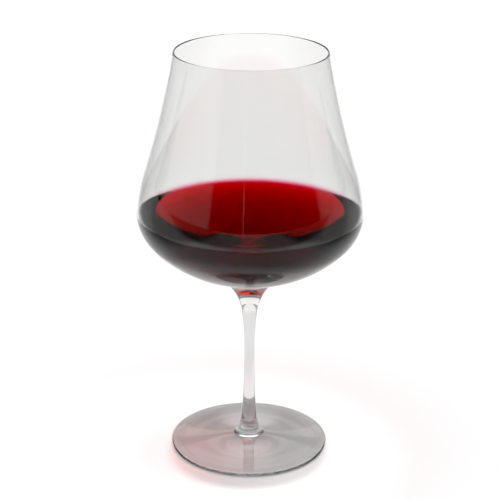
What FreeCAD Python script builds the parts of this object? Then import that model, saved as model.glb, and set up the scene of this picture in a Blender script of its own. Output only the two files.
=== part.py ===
"""A stemmed glass for red wine: a blown bowl, a drawn stem, a foot, and the wine in it.

All four pieces are turned about the vertical axis. The origin is where that axis meets the
surface that the glass stands on, +Z is up and sizes are millimetres. The glass pieces are melted
together, so their flat joint faces touch.
"""
import FreeCAD, Part
import math
import os
import Sketcher

# Driving dimensions: the sheet's alias, the size, and what it measures.
SIZES = (
    ("glass_height", 230.0, "foot to rim"),
    ("rim_diameter", 83.0, "outside of the rim"),
    ("bowl_diameter", 124.7, "outside of the bowl at its widest"),
    ("widest_height", 142.1, "height of the widest place"),
    ("wall_thickness", 1.0, "wall from the rim to the widest place"),
    ("belly_radius", 26.9, "bend round the widest place"),
    ("belly_top_height", 145.3, "where the belly meets the shoulder"),
    ("belly_foot_height", 123.2, "where the belly meets the base of the bowl"),
    ("shoulder_radius", 95.0, "swell above the belly"),
    ("shoulder_top_height", 163.4, "where the swell turns into the hollow flank"),
    ("base_radius", 69.6, "underside of the bowl"),
    ("base_foot_height", 105.3, "where the underside turns down towards the stem"),
    ("bowl_floor_height", 104.0, "lowest point inside the bowl"),
    ("joint_height", 81.4, "where the bowl's glass meets the stem's"),
    ("joint_diameter", 8.6, "the glass at that joint"),
    ("waist_height", 56.8, "narrowest place of the stem"),
    ("stem_diameter", 5.6, "the stem at its waist"),
    ("shank_radius", 557.0, "slow curve of the stem below its waist"),
    ("ankle_top_height", 17.7, "where the stem starts to widen quickly"),
    ("ankle_radius", 30.0, "first bend of the widening"),
    ("button_flare_radius", 4.8, "last bend of the widening, out to the button"),
    ("button_diameter", 17.7, "small disc at the stem's lower end"),
    ("button_edge_radius", 0.45, "rounded edge of that disc"),
    ("button_edge_height", 0.35, "middle of that edge above the foot"),
    ("seat_height", 5.7, "top of the foot, where the button sits"),
    ("seat_diameter", 18.4, "flat land round the button"),
    ("foot_diameter", 88.2, "outside of the foot"),
    ("foot_top_radius", 420.0, "slow hollow curve of the foot's top"),
    ("foot_edge_radius", 0.95, "rounded edge of the foot"),
    ("rest_inner_diameter", 76.0, "inside of the flat ring that the glass stands on"),
    ("foot_hollow_height", 1.8, "hollow under the middle of the foot"),
    ("wine_height", 139.0, "level of the wine"),
    ("wine_contact_height", 140.8, "how high the wine climbs at the wall"),
    ("meniscus_radius", 2.4, "curve of the wine's edge"),
)

X_AXIS, Y_AXIS, ORIGIN = -1, -2, (-1, 1)
START, END, CENTRE = 1, 2, 3


def fill_sheet(doc):
    """Puts every driving dimension in the sheet, one row each."""
    sheet = doc.addObject("Spreadsheet::Sheet", "Sizes")
    for row, (alias, value, meaning) in enumerate(SIZES, start=1):
        sheet.set(f"A{row}", alias)
        sheet.set(f"B{row}", str(value))
        sheet.set(f"C{row}", meaning)
        sheet.setAlias(f"B{row}", alias)
    doc.recompute()
    return sheet


def at(radius, height):
    """A point of a half-section: its distance from the axis, and its height."""
    return FreeCAD.Vector(radius, height, 0)


def outer_point(centre, radius, height):
    """The point of a circle at a height, on the side away from the axis."""
    return at(centre.x + math.sqrt(radius**2 - (height - centre.y) ** 2), height)


def inner_point(centre, radius, height):
    """The point of a circle at a height, on the side towards the axis."""
    return at(centre.x - math.sqrt(radius**2 - (height - centre.y) ** 2), height)


def along(start, towards, distance):
    """The point that lies a distance from start, in the direction of another point."""
    step = towards - start
    return start + step * (distance / step.Length)


def tangent_centre(point, normal, through):
    """Centre of the arc that leaves point square to normal and passes through another point."""
    gap = point - through
    return point + normal * (-gap.dot(gap) / (2 * gap.dot(normal)))


def meeting_point(first, first_distance, second, second_distance):
    """The point at the two distances from first and second, on the left of that line."""
    line = second - first
    reach = (first_distance**2 - second_distance**2 + line.dot(line)) / (2 * line.Length)
    rise = math.sqrt(first_distance**2 - reach**2)
    unit = line / line.Length
    return first + unit * reach + FreeCAD.Vector(-unit.y, unit.x, 0) * rise


class Section:
    """A closed half-section, drawn edge by edge in a body's sketch and then revolved."""

    def __init__(self, body, name, start):
        plane = next(f for f in body.Origin.OriginFeatures if f.Role == "XZ_Plane")
        self.body = body
        self.sketch = body.newObject("Sketcher::SketchObject", name)
        self.sketch.AttachmentSupport = [(plane, "")]
        self.sketch.MapMode = "FlatFace"
        self.pen = start
        self.edges = {}
        self.order = []

    def line(self, name, end):
        """A straight edge from the pen to a point."""
        self.keep(name, Part.LineSegment(self.pen, end), START, END)
        self.pen = end

    def arc(self, name, centre, end, half_turn=False):
        """The shorter arc from the pen to a point, or a half turn to the left."""
        spoke, last = self.pen - centre, end - centre
        turns_left = half_turn or spoke.cross(last).z > 0
        first, last = (spoke, last) if turns_left else (last, spoke)
        circle = Part.Circle(centre, FreeCAD.Vector(0, 0, 1), spoke.Length)
        angles = [math.atan2(spoke.y, spoke.x) for spoke in (first, last)]
        arc = Part.ArcOfCircle(circle, *angles)
        self.keep(name, arc, *((START, END) if turns_left else (END, START)))
        self.pen = end

    def keep(self, name, shape, start, end):
        self.edges[name] = (self.sketch.addGeometry(shape, False), start, end)
        self.order.append(name)

    def start_of(self, name):
        return self.edges[name][0], self.edges[name][1]

    def end_of(self, name):
        return self.edges[name][0], self.edges[name][2]

    def centre_of(self, name):
        return self.edges[name][0], CENTRE

    def join(self, smooth):
        """Joins each edge to the next one, smoothly where the pair's first edge is in smooth."""
        for name, following in zip(self.order, self.order[1:] + self.order[:1]):
            kind = "Tangent" if name in smooth else "Coincident"
            self.hold(kind, *self.end_of(name), *self.start_of(following))

    def hold(self, kind, *refs):
        return self.sketch.addConstraint(Sketcher.Constraint(kind, *refs))

    def flat(self, *names):
        for name in names:
            self.hold("Horizontal", self.edges[name][0])

    def on_axis(self, *points):
        for point in points:
            self.hold("PointOnObject", *point, Y_AXIS)

    def drive(self, kind, refs, value, formula):
        """A dimension whose value comes from the sheet by a formula."""
        index = self.hold(kind, *refs, value)
        self.sketch.setExpression(f"Constraints[{index}]", formula)

    def radius(self, name, formula):
        value = self.sketch.Geometry[self.edges[name][0]].Radius
        self.drive("Radius", (self.edges[name][0],), value, formula)

    def height(self, point, formula):
        value = self.sketch.getPoint(*point).y
        self.drive("DistanceY", (*ORIGIN, *point), value, formula)

    def distance(self, point, formula):
        value = self.sketch.getPoint(*point).x
        self.drive("DistanceX", (*ORIGIN, *point), value, formula)

    def revolve(self):
        turn = self.body.newObject("PartDesign::Revolution", self.sketch.Name + "_turned")
        turn.Profile = self.sketch
        turn.ReferenceAxis = (self.sketch, ["V_Axis"])
        turn.Angle = 360
        self.sketch.Visibility = False


def new_body(doc, label):
    body = doc.addObject("PartDesign::Body", label)
    body.Label = label
    body.Placement = FreeCAD.Placement()
    return body


def belly_centre(s):
    return at(s.bowl_diameter / 2 - s.belly_radius, s.widest_height)


def floor_centre(s):
    """Centre, on the axis, of the bowl's inner floor, which runs smoothly into the inner belly."""
    belly, radius = belly_centre(s), s.belly_radius - s.wall_thickness
    drop = belly.y - s.bowl_floor_height
    floor_radius = (belly.x**2 + drop**2 - radius**2) / (2 * (drop - radius))
    return at(0, s.bowl_floor_height + floor_radius), floor_radius


def hold_inside(section, floor, belly):
    """The inner floor and belly of the bowl, which the wine shares."""
    section.on_axis(section.centre_of(floor))
    section.radius(belly, "Sizes.belly_radius - Sizes.wall_thickness")
    section.height(section.centre_of(belly), "Sizes.widest_height")
    section.distance(section.centre_of(belly), "Sizes.bowl_diameter / 2 - Sizes.belly_radius")


def make_bowl(doc, s):
    """The blown shell: outside up to the rim, round its lip, and down the inside."""
    wall = s.wall_thickness
    belly = belly_centre(s)
    belly_foot = outer_point(belly, s.belly_radius, s.belly_foot_height)
    belly_top = outer_point(belly, s.belly_radius, s.belly_top_height)
    shoulder = along(belly_top, belly, s.shoulder_radius)
    shoulder_top = outer_point(shoulder, s.shoulder_radius, s.shoulder_top_height)
    lip = at((s.rim_diameter - wall) / 2, s.glass_height - wall / 2)
    outward = (shoulder_top - shoulder) / s.shoulder_radius
    gap = shoulder_top - lip
    flank_radius = (gap.dot(gap) - wall**2 / 4) / (wall - 2 * gap.dot(outward))
    flank = shoulder_top + outward * flank_radius
    base = along(belly_foot, belly, s.base_radius)
    base_foot = outer_point(base, s.base_radius, s.base_foot_height)
    joint = at(s.joint_diameter / 2, s.joint_height)
    flare = tangent_centre(base_foot, (base_foot - base) / s.base_radius, joint)
    floor, floor_radius = floor_centre(s)

    bowl = new_body(doc, "bowl")
    section = Section(bowl, "bowl_section", at(0, s.joint_height))
    section.line("joint_face", joint)
    section.arc("flare", flare, base_foot)
    section.arc("base", base, belly_foot)
    section.arc("belly", belly, belly_top)
    section.arc("shoulder", shoulder, shoulder_top)
    section.arc("flank", flank, along(lip, flank, wall / 2))
    section.arc("lip", lip, along(lip, flank, -wall / 2), half_turn=True)
    section.arc("inner_flank", flank, along(shoulder_top, shoulder, wall))
    section.arc("inner_shoulder", shoulder, along(belly_top, belly, wall))
    section.arc("inner_belly", belly, along(floor, belly, floor_radius))
    section.arc("floor", floor, at(0, s.bowl_floor_height))
    section.line("axis", at(0, s.joint_height))

    section.join(smooth=set(section.order) - {"joint_face", "floor", "axis"})
    section.flat("joint_face")
    section.on_axis(section.start_of("axis"), section.end_of("axis"))
    section.height(section.start_of("joint_face"), "Sizes.joint_height")
    section.distance(section.end_of("joint_face"), "Sizes.joint_diameter / 2")
    section.height(section.end_of("flare"), "Sizes.base_foot_height")
    section.radius("base", "Sizes.base_radius")
    section.height(section.end_of("base"), "Sizes.belly_foot_height")
    section.radius("belly", "Sizes.belly_radius")
    section.height(section.end_of("belly"), "Sizes.belly_top_height")
    section.radius("shoulder", "Sizes.shoulder_radius")
    section.height(section.end_of("shoulder"), "Sizes.shoulder_top_height")
    section.distance(section.centre_of("lip"), "(Sizes.rim_diameter - Sizes.wall_thickness) / 2")
    section.height(section.centre_of("lip"), "Sizes.glass_height - Sizes.wall_thickness / 2")
    section.hold("Coincident", *section.centre_of("belly"), *section.centre_of("inner_belly"))
    section.hold("Coincident", *section.centre_of("shoulder"), *section.centre_of("inner_shoulder"))
    section.hold("Coincident", *section.centre_of("flank"), *section.centre_of("inner_flank"))
    section.height(section.end_of("floor"), "Sizes.bowl_floor_height")
    hold_inside(section, "floor", "inner_belly")
    section.revolve()
    return bowl


def make_stem(doc, s):
    """The drawn rod: a waist, and a quick widening to a small button at its lower end."""
    joint = at(s.joint_diameter / 2, s.joint_height)
    waist = at(s.stem_diameter / 2, s.waist_height)
    neck = tangent_centre(waist, FreeCAD.Vector(1, 0, 0), joint)
    shank = waist + at(s.shank_radius, 0)
    ankle_top = inner_point(shank, s.shank_radius, s.ankle_top_height)
    ankle = along(ankle_top, shank, s.ankle_radius)
    edge = at(s.button_diameter / 2 - s.button_edge_radius, s.seat_height + s.button_edge_height)
    flare = meeting_point(
        edge,
        s.button_flare_radius + s.button_edge_radius,
        ankle,
        s.ankle_radius - s.button_flare_radius,
    )
    ankle_foot = flare + (flare - ankle) / (flare - ankle).Length * s.button_flare_radius

    stem = new_body(doc, "stem")
    section = Section(stem, "stem_section", at(0, s.joint_height))
    section.line("joint_face", joint)
    section.arc("neck", neck, waist)
    section.arc("shank", shank, ankle_top)
    section.arc("ankle", ankle, ankle_foot)
    section.arc("button_flare", flare, along(edge, flare, s.button_edge_radius))
    section.arc("button_edge", edge, outer_point(edge, s.button_edge_radius, s.seat_height))
    section.line("seat_face", at(0, s.seat_height))
    section.line("axis", at(0, s.joint_height))

    section.join(smooth={"neck", "shank", "ankle", "button_flare"})
    section.flat("joint_face", "seat_face")
    section.on_axis(section.start_of("axis"), section.end_of("axis"))
    section.height(section.start_of("joint_face"), "Sizes.joint_height")
    section.distance(section.end_of("joint_face"), "Sizes.joint_diameter / 2")
    section.height(section.centre_of("neck"), "Sizes.waist_height")
    section.height(section.end_of("neck"), "Sizes.waist_height")
    section.distance(section.end_of("neck"), "Sizes.stem_diameter / 2")
    section.radius("shank", "Sizes.shank_radius")
    section.height(section.end_of("shank"), "Sizes.ankle_top_height")
    section.radius("ankle", "Sizes.ankle_radius")
    section.radius("button_flare", "Sizes.button_flare_radius")
    section.radius("button_edge", "Sizes.button_edge_radius")
    section.distance(
        section.centre_of("button_edge"), "Sizes.button_diameter / 2 - Sizes.button_edge_radius"
    )
    section.height(
        section.centre_of("button_edge"), "Sizes.seat_height + Sizes.button_edge_height"
    )
    section.height(section.end_of("button_edge"), "Sizes.seat_height")
    section.revolve()
    return stem


def make_foot(doc, s):
    """The disc: hollow-curved on top, rounded at its edge, and standing on a flat ring."""
    seat_edge = at(s.seat_diameter / 2, s.seat_height)
    edge = at(s.foot_diameter / 2 - s.foot_edge_radius, s.foot_edge_radius)
    top = meeting_point(
        seat_edge, s.foot_top_radius, edge, s.foot_top_radius + s.foot_edge_radius
    )
    rest_inner = at(s.rest_inner_diameter / 2, 0)
    crown = at(0, s.foot_hollow_height)
    hollow = tangent_centre(crown, FreeCAD.Vector(0, -1, 0), rest_inner)

    foot = new_body(doc, "foot")
    section = Section(foot, "foot_section", at(0, s.seat_height))
    section.line("seat", seat_edge)
    section.arc("top", top, along(edge, top, s.foot_edge_radius))
    section.arc("edge", edge, at(edge.x, 0))
    section.line("rest_ring", rest_inner)
    section.arc("hollow", hollow, crown)
    section.line("axis", at(0, s.seat_height))

    section.join(smooth={"top", "edge"})
    section.flat("seat")
    section.on_axis(section.start_of("axis"), section.end_of("axis"))
    section.on_axis(section.centre_of("hollow"))
    section.hold("PointOnObject", *section.start_of("rest_ring"), X_AXIS)
    section.hold("PointOnObject", *section.end_of("rest_ring"), X_AXIS)
    section.height(section.start_of("seat"), "Sizes.seat_height")
    section.distance(section.end_of("seat"), "Sizes.seat_diameter / 2")
    section.radius("top", "Sizes.foot_top_radius")
    section.radius("edge", "Sizes.foot_edge_radius")
    section.distance(section.centre_of("edge"), "Sizes.foot_diameter / 2 - Sizes.foot_edge_radius")
    section.distance(section.end_of("rest_ring"), "Sizes.rest_inner_diameter / 2")
    section.height(section.end_of("hollow"), "Sizes.foot_hollow_height")
    section.revolve()
    return foot


def make_wine(doc, s):
    """The wine: it fills the bowl's floor and belly, and climbs a little at the wall."""
    belly, belly_radius = belly_centre(s), s.belly_radius - s.wall_thickness
    floor, floor_radius = floor_centre(s)
    contact = outer_point(belly, belly_radius, s.wine_contact_height)
    climb = s.wine_contact_height - s.wine_height
    reach = math.sqrt(s.meniscus_radius**2 - (s.meniscus_radius - climb) ** 2)
    meniscus = at(contact.x - reach, s.wine_height + s.meniscus_radius)

    wine = new_body(doc, "wine")
    section = Section(wine, "wine_section", at(0, s.bowl_floor_height))
    section.arc("floor", floor, along(floor, belly, floor_radius))
    section.arc("belly", belly, contact)
    section.arc("meniscus", meniscus, at(meniscus.x, s.wine_height))
    section.line("surface", at(0, s.wine_height))
    section.line("axis", at(0, s.bowl_floor_height))

    section.join(smooth={"floor", "meniscus"})
    section.flat("surface")
    section.on_axis(section.start_of("axis"), section.end_of("axis"))
    section.height(section.start_of("floor"), "Sizes.bowl_floor_height")
    hold_inside(section, "floor", "belly")
    section.height(section.end_of("belly"), "Sizes.wine_contact_height")
    section.radius("meniscus", "Sizes.meniscus_radius")
    section.height(section.start_of("surface"), "Sizes.wine_height")
    section.revolve()
    return wine


def check(doc, bodies):
    """Stops if an object failed, a sketch is loose, or a piece isn't one valid solid."""
    for obj in doc.Objects:
        if {"Invalid", "Error"} & set(obj.State):
            raise RuntimeError(f"{obj.Label} failed: {obj.State}")
        if obj.TypeId == "Sketcher::SketchObject" and not obj.FullyConstrained:
            raise RuntimeError(f"{obj.Label} is not fully constrained")
    for body in bodies:
        shape = body.Shape
        if shape.isNull() or not shape.isValid() or len(shape.Solids) != 1:
            raise RuntimeError(f"{body.Label} is not one valid solid")


def main():
    doc = FreeCAD.newDocument("wine_glass")
    sizes = fill_sheet(doc)
    bodies = [make(doc, sizes) for make in (make_bowl, make_stem, make_foot, make_wine)]
    doc.recompute()
    check(doc, bodies)
    os.makedirs("parts", exist_ok=True)
    for body in bodies:
        body.Shape.exportStep(f"parts/{body.Label}.step")
        print(f"{body.Label}: {body.Shape.Volume / 1000:.1f} cm3")


main()
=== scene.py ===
"""The looks of a stemmed glass of red wine: clear blown glass, and the wine inside it.

Every piece is turned about the glass's axis. Its half-section is drawn here as arcs, with the
sizes that the frame gives, and a Geometry Nodes tree turns it into a smooth closed mesh.
"""
import math

import bpy
from mathutils import Matrix, Vector


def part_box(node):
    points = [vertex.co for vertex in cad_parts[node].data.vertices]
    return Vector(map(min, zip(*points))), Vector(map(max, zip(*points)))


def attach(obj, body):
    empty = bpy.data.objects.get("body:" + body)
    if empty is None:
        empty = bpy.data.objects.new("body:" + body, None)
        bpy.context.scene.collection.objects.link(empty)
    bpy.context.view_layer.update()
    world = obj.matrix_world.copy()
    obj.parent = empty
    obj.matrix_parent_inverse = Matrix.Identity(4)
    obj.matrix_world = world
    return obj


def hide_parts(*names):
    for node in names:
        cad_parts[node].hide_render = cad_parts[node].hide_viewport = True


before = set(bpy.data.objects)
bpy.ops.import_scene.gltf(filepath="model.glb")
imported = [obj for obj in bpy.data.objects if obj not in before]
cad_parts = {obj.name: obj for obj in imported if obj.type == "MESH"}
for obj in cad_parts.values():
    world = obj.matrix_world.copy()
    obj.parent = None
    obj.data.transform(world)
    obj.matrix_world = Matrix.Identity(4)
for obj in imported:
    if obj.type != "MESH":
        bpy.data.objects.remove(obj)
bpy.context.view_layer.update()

MM = 0.001

# Sizes that the frame doesn't show as the box of a node. They are those of the glass as designed.
WALL = 1.0 * MM
RIM_RADIUS = 41.5 * MM
WIDEST_HEIGHT = 142.1 * MM
BELLY_RADIUS = 26.9 * MM
BELLY_TOP, BELLY_FOOT = 145.3 * MM, 123.2 * MM
SHOULDER_RADIUS, SHOULDER_TOP = 95.0 * MM, 163.4 * MM
BASE_RADIUS, BASE_FOOT = 69.6 * MM, 105.3 * MM
JOINT_RADIUS = 4.3 * MM
WAIST_HEIGHT, WAIST_RADIUS = 56.8 * MM, 2.8 * MM
SHANK_RADIUS, ANKLE_TOP = 557.0 * MM, 17.7 * MM
ANKLE_RADIUS, BUTTON_FLARE_RADIUS = 30.0 * MM, 4.8 * MM
BUTTON_EDGE_RADIUS, BUTTON_EDGE_HEIGHT = 0.45 * MM, 0.35 * MM
SEAT_RADIUS = 9.2 * MM
FOOT_TOP_RADIUS, FOOT_EDGE_RADIUS = 420.0 * MM, 0.95 * MM
REST_INNER_RADIUS, FOOT_HOLLOW = 38.0 * MM, 1.8 * MM
WINE_HEIGHT, MENISCUS_RADIUS = 139.0 * MM, 2.4 * MM

GLASS_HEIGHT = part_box("bowl")[1].z
BOWL_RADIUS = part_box("bowl")[1].x
JOINT_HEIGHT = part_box("stem")[1].z
SEAT_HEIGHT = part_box("stem")[0].z
BUTTON_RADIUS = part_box("stem")[1].x
FOOT_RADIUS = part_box("foot")[1].x
BOWL_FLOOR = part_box("wine")[0].z
CONTACT_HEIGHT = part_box("wine")[1].z

# Pieces that touch are drawn this far apart, so that a ray meets their faces one at a time.
GAP = 0.01 * MM

# The room's own glow, and what else lights the glass: how bright each light is beside the table,
# where it begins and ends in its turn from the camera's side to the left, where it begins and ends
# in elevation, and how soft its edges are, in degrees.
ROOM_GLOW = 0.05
LIGHTS = (
    # A broad soft ring above.
    (2.2, -200, 200, 44, 68, 8),
    # Behind: a shelf of light, a strip under it, a bright sweep, and the dim wall over the sweep.
    (0.6, 150, 200, 31, 44, 1.5),
    (0.6, -200, -150, 31, 44, 1.5),
    (0.5, 140, 200, 23.8, 26.5, 0.8),
    (0.5, -200, -140, 23.8, 26.5, 0.8),
    (1.0, 125, 200, -10, 14, 5),
    (1.0, -200, -125, -10, 14, 5),
    (0.1, 125, 200, -10, 27, 1.5),
    (0.1, -200, -125, -10, 27, 1.5),
    # A tall panel on the left, one on the right, and a gap of daylight beside the camera.
    (0.31, 43, 105, -10, 35, 4),
    (0.29, -105, -72, -10, 35, 4),
    (0.42, 6.4, 7.6, -10, 26, 0.6),
)
# The main light is a round one: how bright it is, where it stands, its radius and its soft edge.
MAIN_LIGHT = (10.5, -115, 79, 10, 4)

# How much light the table gives back: further off, near the glass and right under its foot.
# Near the glass it is a painted pool of light, and under the foot a painted shade.
TABLE_WHITE, PAINTED_POOL_WHITE, FOOT_SHADE = 0.64, 0.94, 0.53
# The painted pool of light near the glass: its middle, its radius and how softly it ends.
POOL_MIDDLE, POOL_RADIUS, POOL_FADE = (-0.024, -0.018, 0), 0.045, 0.08
# The painted shade under the foot: its middle and how softly it ends.
SHADE_MIDDLE, SHADE_REACH = (0, 0.004, 0), 0.0012
# The painted shadow in front of the foot: its middle, its radius, how softly it ends and how deep
# it is.
CONTACT_MIDDLE, CONTACT_RADIUS, CONTACT_FADE = (0, -0.012, 0), 0.04, 0.01
CONTACT_SHADE = 0.67
# Painted dimming: where the table's lit part ends in front, how softly, and how much light is left
# beyond.
FRONT_EDGE, FRONT_FADE, FRONT_DIM = -0.24, 0.24, 0.32
# The same painted dimming at the sides. Each side's edge spreads from beside the glass, by these
# slopes.
SIDE_EDGE, SIDE_FADE, SIDE_DIM = 0.155, 0.24, 0.42
SPREAD_BACK, SPREAD_FRONT = 0.16, 0.5

# The table top: half its width, and how far it lies below the foot.
TABLE_REACH, TABLE_DROP = 6.0, 0.1 * MM

# The camera: where it stands, how far it looks down, its roll in degrees, its lens and its film.
CAMERA_PLACE, LOOK_DOWN, ROLL = (0, -0.8235, 0.4345), 21.04, 0.35
LENS, FILM_WIDTH = 115.04, 36.0
NEAREST, FURTHEST = 0.01, 50

# How much light the picture leaves out of its shadows, and how often light may bounce.
BLACK_LEVEL = 0.024
LIGHT_BOUNCES = 32

# Refractive indices, and the step in them across a free face, a wetted one and a melted joint.
GLASS_INDEX, WINE_INDEX = 1.5, 1.345
FREE, WETTED, MELTED = GLASS_INDEX, GLASS_INDEX / WINE_INDEX, 1.0
INDEX_STEP = "index_step"
# How much light glass and wine take up, per metre, in a colour that they don't let through.
GLASS_DEPTH, WINE_DEPTH = 28.0, 560.0

# How finely the pieces are made, and the fold from which an edge stays sharp.
ARC_STEP, LONGEST_EDGE, SEGMENTS = math.radians(4), 1.6 * MM, 256
CREASE = math.radians(30)


# Outlines ------------------------------------------------------------------------------------

def at(radius, height):
    """A point of a half-section: its distance from the axis, and its height."""
    return Vector((radius, height))


def outer_point(centre, radius, height):
    """The point of a circle at a height, on its side away from the axis."""
    return at(centre.x + math.sqrt(radius**2 - (height - centre.y) ** 2), height)


def inner_point(centre, radius, height):
    """The point of a circle at a height, on its side towards the axis."""
    return at(centre.x - math.sqrt(radius**2 - (height - centre.y) ** 2), height)


def along(start, towards, distance):
    """The point that lies a distance from start, in the direction of another point."""
    return start + (towards - start).normalized() * distance


def tangent_centre(point, normal, through):
    """Centre of the arc that leaves point square to normal and passes through another point."""
    gap = point - through
    return point + normal * (-gap.dot(gap) / (2 * gap.dot(normal)))


def meeting_point(first, first_distance, second, second_distance):
    """The point at the two distances from first and second, on the left of that line."""
    line = second - first
    reach = (first_distance**2 - second_distance**2 + line.dot(line)) / (2 * line.length)
    rise = math.sqrt(first_distance**2 - reach**2)
    unit = line.normalized()
    return first + unit * reach + at(-unit.y, unit.x) * rise


class Outline:
    """The points of a half-section, and for each edge the step in refractive index across it."""

    def __init__(self, start):
        self.points = [start]
        self.steps = []

    def line(self, end, step=FREE):
        self.points.append(end)
        self.steps.append(step)

    def arc(self, centre, end, step=FREE, half_turn=False):
        """The shorter arc to end, or a half turn to the left."""
        spoke, last = self.points[-1] - centre, end - centre
        turn = math.pi if half_turn else math.atan2(
            spoke.x * last.y - spoke.y * last.x, spoke.dot(last)
        )
        length = abs(turn) * spoke.length
        count = math.ceil(max(abs(turn) / ARC_STEP, length / LONGEST_EDGE))
        for i in range(1, count + 1):
            angle = turn * i / count
            turned = Matrix.Rotation(angle, 2) @ spoke
            self.line(centre + turned if i < count else end, step)


def belly_centre():
    """Centre of the arc round the bowl's widest part."""
    return at(BOWL_RADIUS - BELLY_RADIUS, WIDEST_HEIGHT)


def floor_centre():
    """Centre, on the axis, of the bowl's inner floor, and its radius."""
    belly, radius = belly_centre(), BELLY_RADIUS - WALL
    drop = belly.y - BOWL_FLOOR
    floor_radius = (belly.x**2 + drop**2 - radius**2) / (2 * (drop - radius))
    return at(0, BOWL_FLOOR + floor_radius), floor_radius


def bowl_outline():
    """From the joint up the outside, over the rounded rim and down the inside to the floor."""
    belly = belly_centre()
    belly_foot = outer_point(belly, BELLY_RADIUS, BELLY_FOOT)
    belly_top = outer_point(belly, BELLY_RADIUS, BELLY_TOP)
    shoulder = along(belly_top, belly, SHOULDER_RADIUS)
    shoulder_top = outer_point(shoulder, SHOULDER_RADIUS, SHOULDER_TOP)
    lip = at(RIM_RADIUS - WALL / 2, GLASS_HEIGHT - WALL / 2)
    outward = (shoulder_top - shoulder).normalized()
    gap = shoulder_top - lip
    flank_radius = (gap.dot(gap) - WALL**2 / 4) / (WALL - 2 * gap.dot(outward))
    flank = shoulder_top + outward * flank_radius
    base = along(belly_foot, belly, BASE_RADIUS)
    base_foot = outer_point(base, BASE_RADIUS, BASE_FOOT)
    joint = at(JOINT_RADIUS, JOINT_HEIGHT + GAP)
    flare = tangent_centre(base_foot, (base_foot - base).normalized(), joint)
    floor, floor_radius = floor_centre()
    inner_radius = BELLY_RADIUS - WALL

    outline = Outline(at(0, joint.y))
    outline.line(joint, MELTED)
    outline.arc(flare, base_foot)
    outline.arc(base, belly_foot)
    outline.arc(belly, belly_top)
    outline.arc(shoulder, shoulder_top)
    outline.arc(flank, along(lip, flank, WALL / 2))
    outline.arc(lip, along(lip, flank, -WALL / 2), half_turn=True)
    outline.arc(flank, along(shoulder_top, shoulder, WALL))
    outline.arc(shoulder, along(belly_top, belly, WALL))
    outline.arc(belly, outer_point(belly, inner_radius, CONTACT_HEIGHT))
    outline.arc(belly, along(floor, belly, floor_radius), WETTED)
    outline.arc(floor, at(0, BOWL_FLOOR), WETTED)
    return outline


def stem_outline():
    """From the button on the foot, up the ankle and the slim shank, to the neck under the bowl."""
    joint = at(JOINT_RADIUS, JOINT_HEIGHT - GAP)
    waist = at(WAIST_RADIUS, WAIST_HEIGHT)
    neck = tangent_centre(waist, at(1, 0), joint)
    shank = waist + at(SHANK_RADIUS, 0)
    ankle_top = inner_point(shank, SHANK_RADIUS, ANKLE_TOP)
    ankle = along(ankle_top, shank, ANKLE_RADIUS)
    edge = at(BUTTON_RADIUS - BUTTON_EDGE_RADIUS, SEAT_HEIGHT + BUTTON_EDGE_HEIGHT)
    flare = meeting_point(
        edge, BUTTON_FLARE_RADIUS + BUTTON_EDGE_RADIUS, ankle, ANKLE_RADIUS - BUTTON_FLARE_RADIUS
    )
    ankle_foot = flare + (flare - ankle).normalized() * BUTTON_FLARE_RADIUS

    outline = Outline(at(0, SEAT_HEIGHT + GAP))
    outline.line(outer_point(edge, BUTTON_EDGE_RADIUS, SEAT_HEIGHT + GAP), MELTED)
    outline.arc(edge, along(edge, flare, BUTTON_EDGE_RADIUS))
    outline.arc(flare, ankle_foot)
    outline.arc(ankle, ankle_top)
    outline.arc(shank, waist)
    outline.arc(neck, joint)
    outline.line(at(0, joint.y), MELTED)
    return outline


def foot_outline():
    """From the hollow underneath, out over the rest and round the edge, and back to the seat."""
    seat_height = SEAT_HEIGHT - GAP
    button_edge = at(BUTTON_RADIUS - BUTTON_EDGE_RADIUS, SEAT_HEIGHT + BUTTON_EDGE_HEIGHT)
    melted = outer_point(button_edge, BUTTON_EDGE_RADIUS, SEAT_HEIGHT).x
    seat_edge = at(SEAT_RADIUS, seat_height)
    edge = at(FOOT_RADIUS - FOOT_EDGE_RADIUS, FOOT_EDGE_RADIUS)
    top = meeting_point(seat_edge, FOOT_TOP_RADIUS, edge, FOOT_TOP_RADIUS + FOOT_EDGE_RADIUS)
    rest_inner = at(REST_INNER_RADIUS, 0)
    crown = at(0, FOOT_HOLLOW)
    hollow = tangent_centre(crown, at(0, -1), rest_inner)

    outline = Outline(crown)
    outline.arc(hollow, rest_inner)
    outline.line(at(edge.x, 0))
    outline.arc(edge, along(edge, top, FOOT_EDGE_RADIUS))
    outline.arc(top, seat_edge)
    outline.line(at(melted, seat_height))
    outline.line(at(0, seat_height), MELTED)
    return outline


def wine_outline():
    """From the bowl's floor up its wall, and over the meniscus to the level top."""
    belly = belly_centre()
    floor, floor_radius = floor_centre()
    inner_radius = BELLY_RADIUS - WALL - GAP
    contact = outer_point(belly, inner_radius, CONTACT_HEIGHT)
    climb = CONTACT_HEIGHT - WINE_HEIGHT
    reach = math.sqrt(MENISCUS_RADIUS**2 - (MENISCUS_RADIUS - climb) ** 2)
    meniscus = at(contact.x - reach, WINE_HEIGHT + MENISCUS_RADIUS)

    outline = Outline(at(0, BOWL_FLOOR + GAP))
    outline.arc(floor, along(floor, belly, floor_radius - GAP), MELTED)
    outline.arc(belly, contact, MELTED)
    outline.arc(meniscus, at(meniscus.x, WINE_HEIGHT), WINE_INDEX)
    outline.line(at(0, WINE_HEIGHT), WINE_INDEX)
    return outline


# Nodes ---------------------------------------------------------------------------------------

def add(tree, kind, links=None, **settings):
    """Adds a node with its settings, and links or values for its inputs."""
    node = tree.nodes.new(kind)
    for name, value in settings.items():
        setattr(node, name, value)
    for name, source in (links or {}).items():
        socket = node.inputs[name]
        if isinstance(source, bpy.types.NodeSocket):
            tree.links.new(source, socket)
        else:
            socket.default_value = source
    return node


def linear(code):
    """An sRGB hex colour as linear red, green, blue and alpha."""
    parts = [int(code[i:i + 2], 16) / 255 for i in (1, 3, 5)]
    return (*[c / 12.92 if c <= 0.04045 else ((c + 0.055) / 1.055) ** 2.4 for c in parts], 1)


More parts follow.
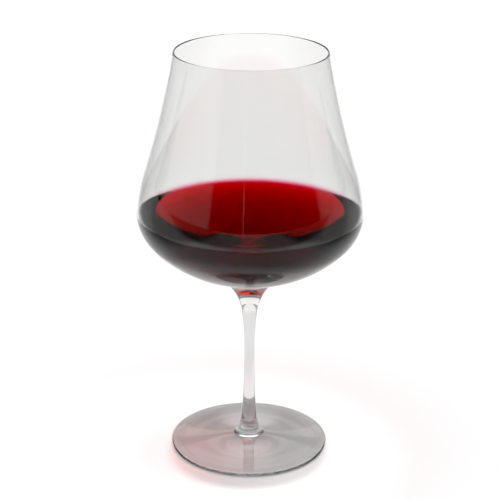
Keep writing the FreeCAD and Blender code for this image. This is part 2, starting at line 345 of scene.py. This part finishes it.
def turning_tree():
    """Turns a half-section, given as a chain of edges, about Z into a closed smooth mesh."""
    tree = bpy.data.node_groups.new("turned_about_axis", "GeometryNodeTree")
    face = tree.interface
    face.new_socket("Section", in_out="INPUT", socket_type="NodeSocketGeometry")
    face.new_socket("Segments", in_out="INPUT", socket_type="NodeSocketInt")
    face.new_socket("Crease", in_out="INPUT", socket_type="NodeSocketFloat")
    face.new_socket("Material", in_out="INPUT", socket_type="NodeSocketMaterial")
    face.new_socket("Mesh", in_out="OUTPUT", socket_type="NodeSocketGeometry")
    given = add(tree, "NodeGroupInput").outputs
    result = add(tree, "NodeGroupOutput")

    count = add(
        tree, "GeometryNodeAttributeDomainSize", {"Geometry": given["Section"]}, component="MESH"
    ).outputs["Point Count"]
    columns, edges = [
        add(tree, "FunctionNodeIntegerMath", {0: number, 1: 1}, operation=operation).outputs[0]
        for number, operation in ((given["Segments"], "ADD"), (count, "SUBTRACT"))
    ]
    grid = add(tree, "GeometryNodeMeshGrid", {"Vertices X": columns, "Vertices Y": count})
    index = add(tree, "GeometryNodeInputIndex").outputs[0]
    row, column, edge = [
        add(tree, "FunctionNodeIntegerMath", {0: index, 1: number}, operation=operation).outputs[0]
        for number, operation in ((count, "MODULO"), (count, "DIVIDE_FLOOR"), (edges, "MODULO"))
    ]
    point = add(
        tree,
        "GeometryNodeSampleIndex",
        {
            "Geometry": given["Section"],
            "Value": add(tree, "GeometryNodeInputPosition").outputs[0],
            "Index": row,
        },
        data_type="FLOAT_VECTOR",
        domain="POINT",
    ).outputs[0]
    part = add(tree, "ShaderNodeSeparateXYZ", {0: point}).outputs
    turn = add(tree, "ShaderNodeMath", {0: column, 1: given["Segments"]}, operation="DIVIDE")
    angle = add(tree, "ShaderNodeMath", {0: turn.outputs[0], 1: 2 * math.pi}, operation="MULTIPLY")
    waves = [
        add(tree, "ShaderNodeMath", {0: angle.outputs[0]}, operation=wave).outputs[0]
        for wave in ("COSINE", "SINE")
    ]
    across, forth = [
        add(tree, "ShaderNodeMath", {0: part["X"], 1: wave}, operation="MULTIPLY").outputs[0]
        for wave in waves
    ]
    place = add(tree, "ShaderNodeCombineXYZ", {"X": across, "Y": forth, "Z": part["Z"]}).outputs[0]
    turned = add(
        tree, "GeometryNodeSetPosition", {"Geometry": grid.outputs["Mesh"], "Position": place}
    ).outputs[0]

    step = add(
        tree, "GeometryNodeInputNamedAttribute", {"Name": INDEX_STEP}, data_type="FLOAT"
    ).outputs[0]
    edge_step = add(
        tree,
        "GeometryNodeSampleIndex",
        {"Geometry": given["Section"], "Value": step, "Index": edge},
        data_type="FLOAT",
        domain="EDGE",
    ).outputs[0]
    marked = add(
        tree,
        "GeometryNodeStoreNamedAttribute",
        {"Geometry": turned, "Name": INDEX_STEP, "Value": edge_step},
        data_type="FLOAT",
        domain="FACE",
    ).outputs[0]
    closed = add(
        tree, "GeometryNodeMergeByDistance", {"Geometry": marked, "Distance": GAP / 10}
    ).outputs[0]
    smooth = add(tree, "GeometryNodeSetShadeSmooth", {"Geometry": closed}, domain="FACE").outputs[0]
    fold = add(tree, "GeometryNodeInputMeshEdgeAngle").outputs[0]
    sharp = add(
        tree, "FunctionNodeCompare", {0: fold, 1: given["Crease"]}, operation="GREATER_THAN"
    ).outputs[0]
    creased = add(
        tree,
        "GeometryNodeSetShadeSmooth",
        {"Geometry": smooth, "Selection": sharp, "Shade Smooth": False},
        domain="EDGE",
    ).outputs[0]
    real = add(tree, "GeometryNodeRealizeInstances", {"Geometry": creased}).outputs[0]
    finished = add(
        tree, "GeometryNodeSetMaterial", {"Geometry": real, "Material": given["Material"]}
    ).outputs[0]
    tree.links.new(finished, result.inputs[0])
    return tree


def turned_piece(name, outline, tree, material):
    """The piece that an outline makes when it is turned, as a plain mesh at the origin."""
    section = bpy.data.meshes.new(name + "_section")
    corners = [(p.x, 0, p.y) for p in outline.points]
    section.from_pydata(corners, [(i, i + 1) for i in range(len(corners) - 1)], [])
    section.attributes.new(INDEX_STEP, "FLOAT", "EDGE").data.foreach_set("value", outline.steps)
    holder = bpy.data.objects.new(name + "_holder", section)
    bpy.context.scene.collection.objects.link(holder)
    modifier = holder.modifiers.new("turn", "NODES")
    modifier.node_group = tree
    values = {"Segments": SEGMENTS, "Crease": CREASE, "Material": material}
    for item in tree.interface.items_tree:
        if item.in_out == "INPUT" and item.name in values:
            modifier[item.identifier] = values[item.name]
    ready = holder.evaluated_get(bpy.context.evaluated_depsgraph_get())
    mesh = bpy.data.meshes.new_from_object(ready)
    mesh.name = name
    holder.modifiers.clear()
    bpy.data.objects.remove(holder)
    piece = bpy.data.objects.new(name, mesh)
    bpy.context.scene.collection.objects.link(piece)
    return piece


# Materials -----------------------------------------------------------------------------------

def new_material(name):
    """An empty material, with its node tree and its output node."""
    material = bpy.data.materials.new(name)
    material.use_nodes = True
    tree = material.node_tree
    tree.nodes.clear()
    return material, tree, add(tree, "ShaderNodeOutputMaterial")


def give_clear_finish(tree, output, colour, index, body_colour, depth):
    """A smooth surface that bends light by each face's step, round a body that tints the light."""
    surface = add(
        tree,
        "ShaderNodeBsdfPrincipled",
        {"Base Color": colour, "Roughness": 0.0, "IOR": index, "Transmission Weight": 1.0},
    )
    step = add(tree, "ShaderNodeAttribute", attribute_name=INDEX_STEP).outputs["Fac"]
    tree.links.new(step, surface.inputs["IOR"])
    body = add(
        tree, "ShaderNodeVolumeAbsorption", {"Color": linear(body_colour), "Density": depth}
    )
    tree.links.new(surface.outputs[0], output.inputs["Surface"])
    tree.links.new(body.outputs[0], output.inputs["Volume"])


def fire_polished_crystal(name, share):
    """Clear lead-free crystal, fire-polished: no grain or ripple, and a faint grey where thick."""
    material, tree, output = new_material(name)
    step = add(tree, "ShaderNodeAttribute", attribute_name=INDEX_STEP).outputs["Fac"]
    # A free surface lets a share of the light through, and glass melted to glass lets through all.
    # Inputs 6 and 7 of the Mix node are its colours.
    free = add(tree, "ShaderNodeMapRange", {"Value": step, "From Min": MELTED, "From Max": WETTED})
    colours = {0: free.outputs[0], 6: linear("#FFFFFF"), 7: linear(share)}
    colour = add(tree, "ShaderNodeMix", colours, data_type="RGBA").outputs[2]
    give_clear_finish(tree, output, colour, GLASS_INDEX, "#C6C6C7", GLASS_DEPTH)
    return material


def young_red_wine():
    """A young red wine: ruby where it is thin, and nearly black through the whole bowl."""
    material, tree, output = new_material("young_red_wine")
    give_clear_finish(tree, output, linear("#FFFFFF"), WINE_INDEX, "#F70090", WINE_DEPTH)
    return material


def matt_white_table_painted_light():
    """Matt white paint, with a painted pool of light round the glass, painted shade under its foot,
    a painted shadow in front of it, and painted dimming far from it.
    """
    material, tree, output = new_material("matt_white_table_painted_light")
    place = add(tree, "ShaderNodeTexCoord").outputs["Object"]
    part = add(tree, "ShaderNodeSeparateXYZ", {0: place}).outputs
    from_pool, from_shade, from_contact = [
        add(
            tree, "ShaderNodeVectorMath", {0: place, 1: middle}, operation="DISTANCE"
        ).outputs["Value"]
        for middle in (POOL_MIDDLE, SHADE_MIDDLE, CONTACT_MIDDLE)
    ]
    back, ahead = [
        add(tree, "ShaderNodeMath", {0: part["Y"], 1: slope}, operation="MULTIPLY").outputs[0]
        for slope in (SPREAD_BACK, -SPREAD_FRONT)
    ]
    spread = add(tree, "ShaderNodeMath", {0: back, 1: ahead}, operation="MAXIMUM").outputs[0]
    across = add(tree, "ShaderNodeMath", {0: part["X"]}, operation="ABSOLUTE").outputs[0]
    aside = add(tree, "ShaderNodeMath", {0: across, 1: spread}, operation="SUBTRACT").outputs[0]
    # Each goes softly from its third number, at the first place, to its fourth, at the second.
    # white carries the painted pool of light, under the painted shade under the foot, contact the
    # painted shadow in front of it, and side and front the painted dimming.
    white, under, contact, side, front = [
        add(
            tree,
            "ShaderNodeMapRange",
            {"Value": value, "From Min": start, "From Max": end, "To Min": first, "To Max": last},
            interpolation_type="SMOOTHSTEP",
        ).outputs[0]
        for value, start, end, first, last in (
            (from_pool, POOL_RADIUS, POOL_RADIUS + POOL_FADE, PAINTED_POOL_WHITE, TABLE_WHITE),
            (from_shade, FOOT_RADIUS, FOOT_RADIUS + SHADE_REACH, FOOT_SHADE, 1.0),
            (from_contact, CONTACT_RADIUS, CONTACT_RADIUS + CONTACT_FADE, CONTACT_SHADE, 1.0),
            (aside, SIDE_EDGE, SIDE_EDGE + SIDE_FADE, 1.0, SIDE_DIM),
            (part["Y"], FRONT_EDGE - FRONT_FADE, FRONT_EDGE, FRONT_DIM, 1.0),
        )
    ]
    # The darker of the two painted shades, then the painted pool of light times it and the painted
    # dimming.
    shade = add(tree, "ShaderNodeMath", {0: under, 1: contact}, operation="MINIMUM").outputs[0]
    paint = white
    for factor in (shade, side, front):
        paint = add(tree, "ShaderNodeMath", {0: paint, 1: factor}, operation="MULTIPLY").outputs[0]
    surface = add(tree, "ShaderNodeBsdfDiffuse", {"Color": paint})
    tree.links.new(surface.outputs[0], output.inputs["Surface"])
    return material


# Room ----------------------------------------------------------------------------------------

def make_camera():
    """A long lens in front of the glass and above it, looking slightly down."""
    data = bpy.data.cameras.new("camera")
    data.lens, data.sensor_width = LENS, FILM_WIDTH
    data.clip_start, data.clip_end = NEAREST, FURTHEST
    camera = bpy.data.objects.new("camera", data)
    tilt = Matrix.Rotation(math.radians(90 - LOOK_DOWN), 4, "X")
    roll = Matrix.Rotation(math.radians(ROLL), 4, "Z")
    camera.matrix_world = Matrix.Translation(CAMERA_PLACE) @ tilt @ roll
    bpy.context.scene.collection.objects.link(camera)
    bpy.context.scene.camera = camera


def make_table():
    """A wide white table top, just below the foot."""
    mesh = bpy.data.meshes.new("table")
    signs = ((-1, -1), (1, -1), (1, 1), (-1, 1))
    corners = [(x * TABLE_REACH, y * TABLE_REACH, -TABLE_DROP) for x, y in signs]
    mesh.from_pydata(corners, [], [(0, 1, 2, 3)])
    mesh.materials.append(matt_white_table_painted_light())
    table = bpy.data.objects.new("table", mesh)
    bpy.context.scene.collection.objects.link(table)


def make_studio():
    """A dark room with soft light above, a white sweep behind and a panel at each side."""
    world = bpy.data.worlds.new("studio")
    bpy.context.scene.world = world
    world.use_nodes = True
    tree = world.node_tree
    tree.nodes.clear()

    direction = add(tree, "ShaderNodeTexCoord").outputs["Generated"]
    part = add(tree, "ShaderNodeSeparateXYZ", {0: direction}).outputs
    elevation = add(tree, "ShaderNodeMath", {0: part["Z"]}, operation="ARCSINE").outputs[0]
    # The turn from the camera's side, growing to the left as the camera sees it.
    left, front = [
        add(tree, "ShaderNodeMath", {0: part[axis], 1: -1}, operation="MULTIPLY").outputs[0]
        for axis in "XY"
    ]
    azimuth = add(tree, "ShaderNodeMath", {0: left, 1: front}, operation="ARCTAN2").outputs[0]

    glow = ROOM_GLOW
    for strength, *angles in LIGHTS:
        first, last, lowest, highest, blur = [math.radians(angle) for angle in angles]
        shape = strength
        for value, dark, bright in (
            (azimuth, first - blur, first),
            (azimuth, last, last - blur),
            (elevation, lowest - blur, lowest),
            (elevation, highest + blur, highest),
        ):
            limits = {"Value": value, "From Min": dark, "From Max": bright}
            rise = add(tree, "ShaderNodeMapRange", limits, interpolation_type="SMOOTHSTEP")
            factors = {0: shape, 1: rise.outputs[0]}
            shape = add(tree, "ShaderNodeMath", factors, operation="MULTIPLY").outputs[0]
        glow = add(tree, "ShaderNodeMath", {0: glow, 1: shape}, operation="ADD").outputs[0]

    strength, *angles = MAIN_LIGHT
    turn, height, radius, blur = [math.radians(angle) for angle in angles]
    level = math.cos(height)
    towards = (-level * math.sin(turn), -level * math.cos(turn), math.sin(height))
    nearness = add(
        tree, "ShaderNodeVectorMath", {0: direction, 1: towards}, operation="DOT_PRODUCT"
    ).outputs["Value"]
    limits = {
        "Value": nearness,
        "From Min": math.cos(radius + blur),
        "From Max": math.cos(radius),
        "To Max": strength,
    }
    disc = add(tree, "ShaderNodeMapRange", limits, interpolation_type="SMOOTHSTEP").outputs[0]
    glow = add(tree, "ShaderNodeMath", {0: glow, 1: disc}, operation="ADD").outputs[0]
    background = add(tree, "ShaderNodeBackground", {"Color": glow, "Strength": 1.0})
    output = add(tree, "ShaderNodeOutputWorld")
    tree.links.new(background.outputs[0], output.inputs["Surface"])


def set_picture():
    """Plain colours with full blacks, and enough bounces for glass behind wine behind glass."""
    scene = bpy.context.scene
    view = scene.view_settings
    view.view_transform = "Standard"
    view.use_curve_mapping = True
    view.curve_mapping.black_level = (BLACK_LEVEL, BLACK_LEVEL, BLACK_LEVEL)
    view.curve_mapping.update()
    scene.cycles.max_bounces = LIGHT_BOUNCES
    scene.cycles.transmission_bounces = LIGHT_BOUNCES
    scene.cycles.glossy_bounces = LIGHT_BOUNCES
    scene.cycles.blur_glossy = 0


# The scene -----------------------------------------------------------------------------------

make_camera()
make_table()
make_studio()
set_picture()

# A blown wall is thin and bright, and the drawn stem is a solid rod that looks a shade greyer.
blown = fire_polished_crystal("blown_crystal", "#F7F7F6")
drawn = fire_polished_crystal("drawn_crystal", "#E6E5E7")
wine = young_red_wine()
turning = turning_tree()
PIECES = (
    ("clear_bowl", bowl_outline, blown, "bowl", "glass"),
    ("clear_stem", stem_outline, drawn, "stem", "glass"),
    ("clear_foot", foot_outline, blown, "foot", "glass"),
    ("poured_wine", wine_outline, wine, "wine", "wine"),
)
for name, outline, material, node, slot in PIECES:
    piece = turned_piece(name, outline(), turning, material)
    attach(piece, "root")
    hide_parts(node)
